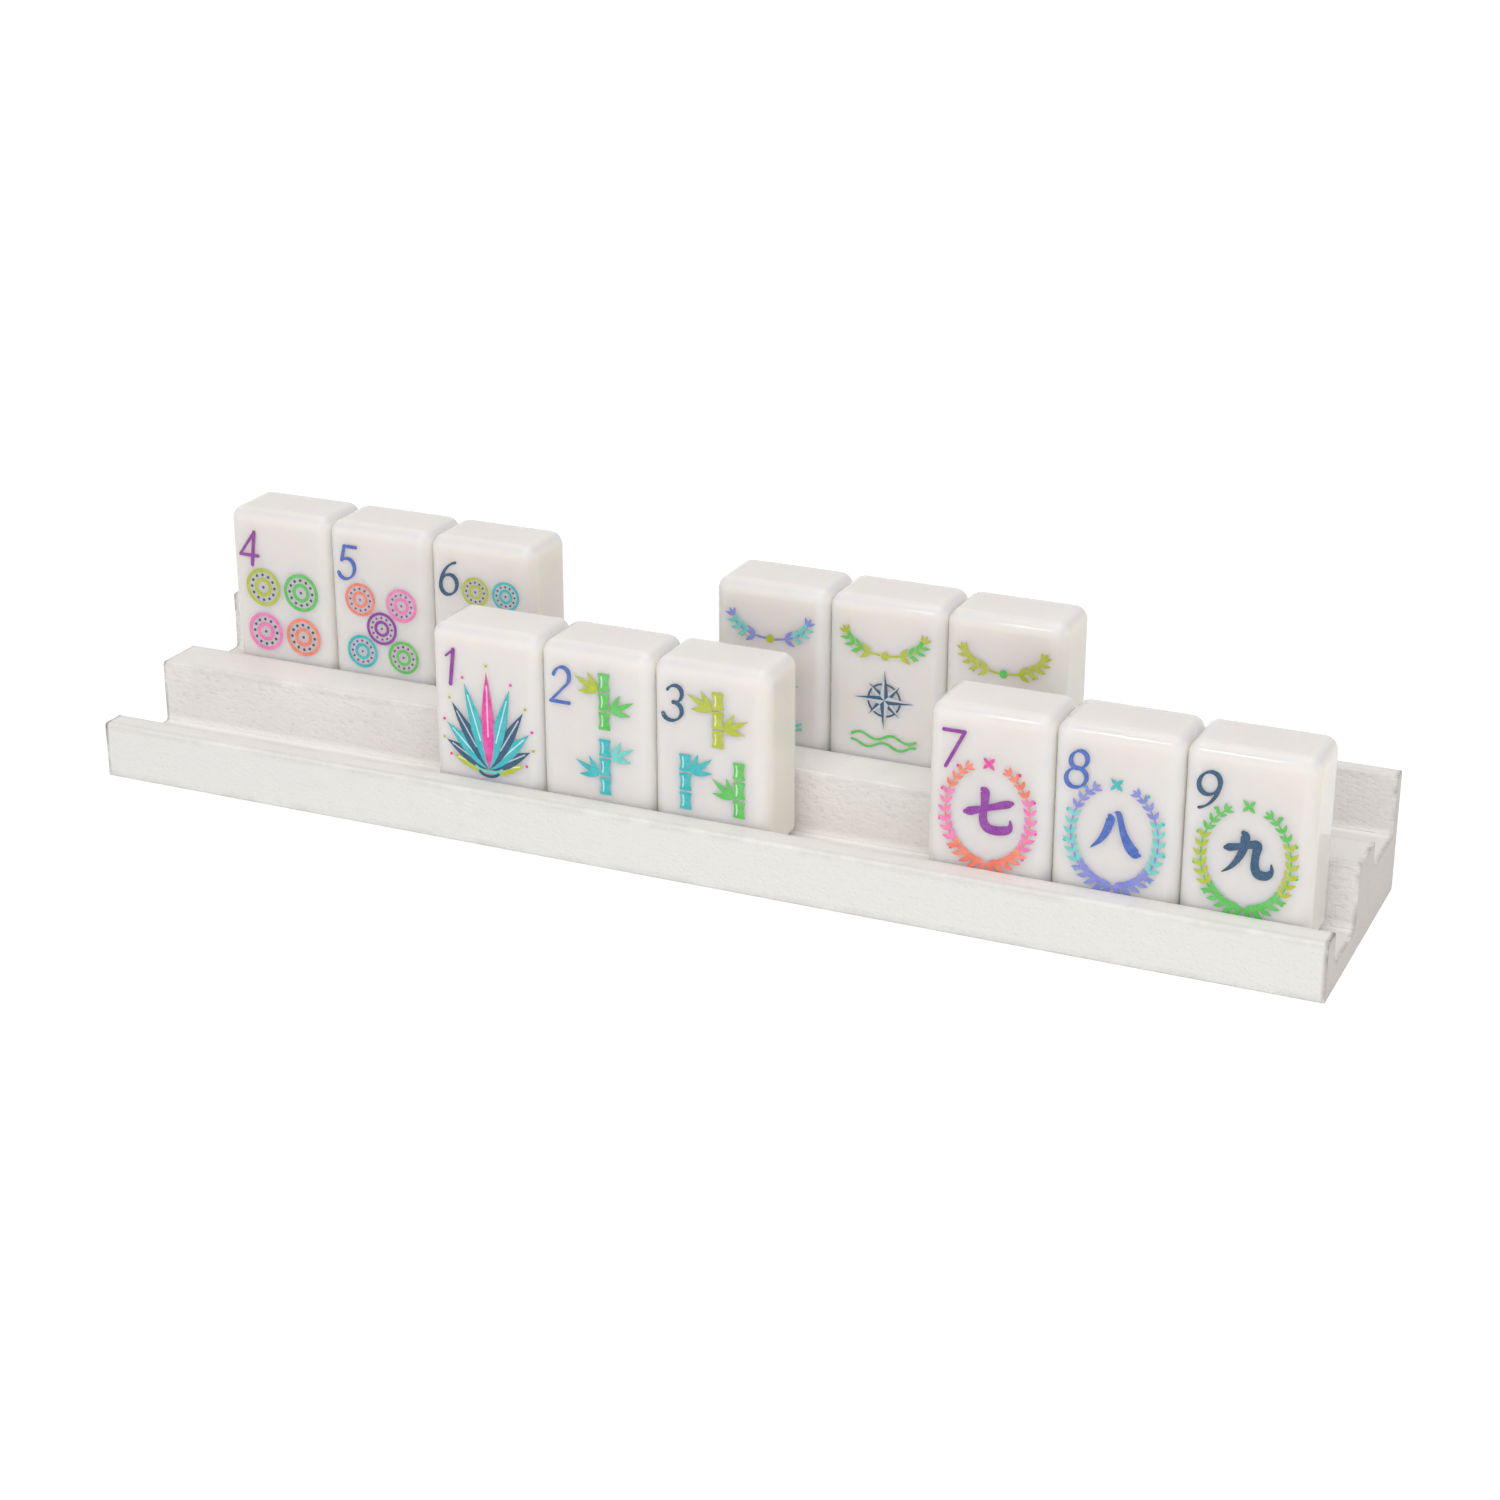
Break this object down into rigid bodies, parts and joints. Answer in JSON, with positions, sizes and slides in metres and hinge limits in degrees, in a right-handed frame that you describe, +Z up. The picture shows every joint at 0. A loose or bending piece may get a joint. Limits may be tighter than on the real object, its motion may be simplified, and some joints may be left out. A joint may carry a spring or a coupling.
{
  "type": "mahjong tile rack",
  "caption": "Stepped, painted wooden rack whose two long grooves hold upright printed mahjong tiles, each of which lifts out.",
  "frame": {"origin": "middle of the rack's underside", "axes": "+X along the rack, from the dots to the numbers; -Y towards the player; +Z up"},
  "size_m": [0.27, 0.056, 0.053],
  "materials": {
    "paint": "white paint, brushed on, satin",
    "ivory": "polished ivory resin with a printed face"
  },
  "bodies": {
    "rack_body": {"rack": "paint"},
    "bamboo_1_body": {"bamboo_1": "ivory"},
    "bamboo_2_body": {"bamboo_2": "ivory"},
    "bamboo_3_body": {"bamboo_3": "ivory"},
    "number_7_body": {"number_7": "ivory"},
    "number_8_body": {"number_8": "ivory"},
    "number_9_body": {"number_9": "ivory"},
    "dots_4_body": {"dots_4": "ivory"},
    "dots_5_body": {"dots_5": "ivory"},
    "dots_6_body": {"dots_6": "ivory"},
    "wind_1_body": {"wind_1": "ivory"},
    "wind_2_body": {"wind_2": "ivory"},
    "wind_3_body": {"wind_3": "ivory"}
  },
  "joints": [
    {"name": "lift_bamboo_1", "type": "slide", "parent": "rack_body", "child": "bamboo_1_body", "axis": [0, 0, 1], "range_m": [0, 0.045]},
    {"name": "lift_bamboo_2", "type": "slide", "parent": "rack_body", "child": "bamboo_2_body", "axis": [0, 0, 1], "range_m": [0, 0.045]},
    {"name": "lift_bamboo_3", "type": "slide", "parent": "rack_body", "child": "bamboo_3_body", "axis": [0, 0, 1], "range_m": [0, 0.045]},
    {"name": "lift_number_7", "type": "slide", "parent": "rack_body", "child": "number_7_body", "axis": [0, 0, 1], "range_m": [0, 0.045]},
    {"name": "lift_number_8", "type": "slide", "parent": "rack_body", "child": "number_8_body", "axis": [0, 0, 1], "range_m": [0, 0.045]},
    {"name": "lift_number_9", "type": "slide", "parent": "rack_body", "child": "number_9_body", "axis": [0, 0, 1], "range_m": [0, 0.045]},
    {"name": "lift_dots_4", "type": "slide", "parent": "rack_body", "child": "dots_4_body", "axis": [0, 0, 1], "range_m": [0, 0.045]},
    {"name": "lift_dots_5", "type": "slide", "parent": "rack_body", "child": "dots_5_body", "axis": [0, 0, 1], "range_m": [0, 0.045]},
    {"name": "lift_dots_6", "type": "slide", "parent": "rack_body", "child": "dots_6_body", "axis": [0, 0, 1], "range_m": [0, 0.045]},
    {"name": "lift_wind_1", "type": "slide", "parent": "rack_body", "child": "wind_1_body", "axis": [0, 0, 1], "range_m": [0, 0.045]},
    {"name": "lift_wind_2", "type": "slide", "parent": "rack_body", "child": "wind_2_body", "axis": [0, 0, 1], "range_m": [0, 0.045]},
    {"name": "lift_wind_3", "type": "slide", "parent": "rack_body", "child": "wind_3_body", "axis": [0, 0, 1], "range_m": [0, 0.045]}
  ]
}
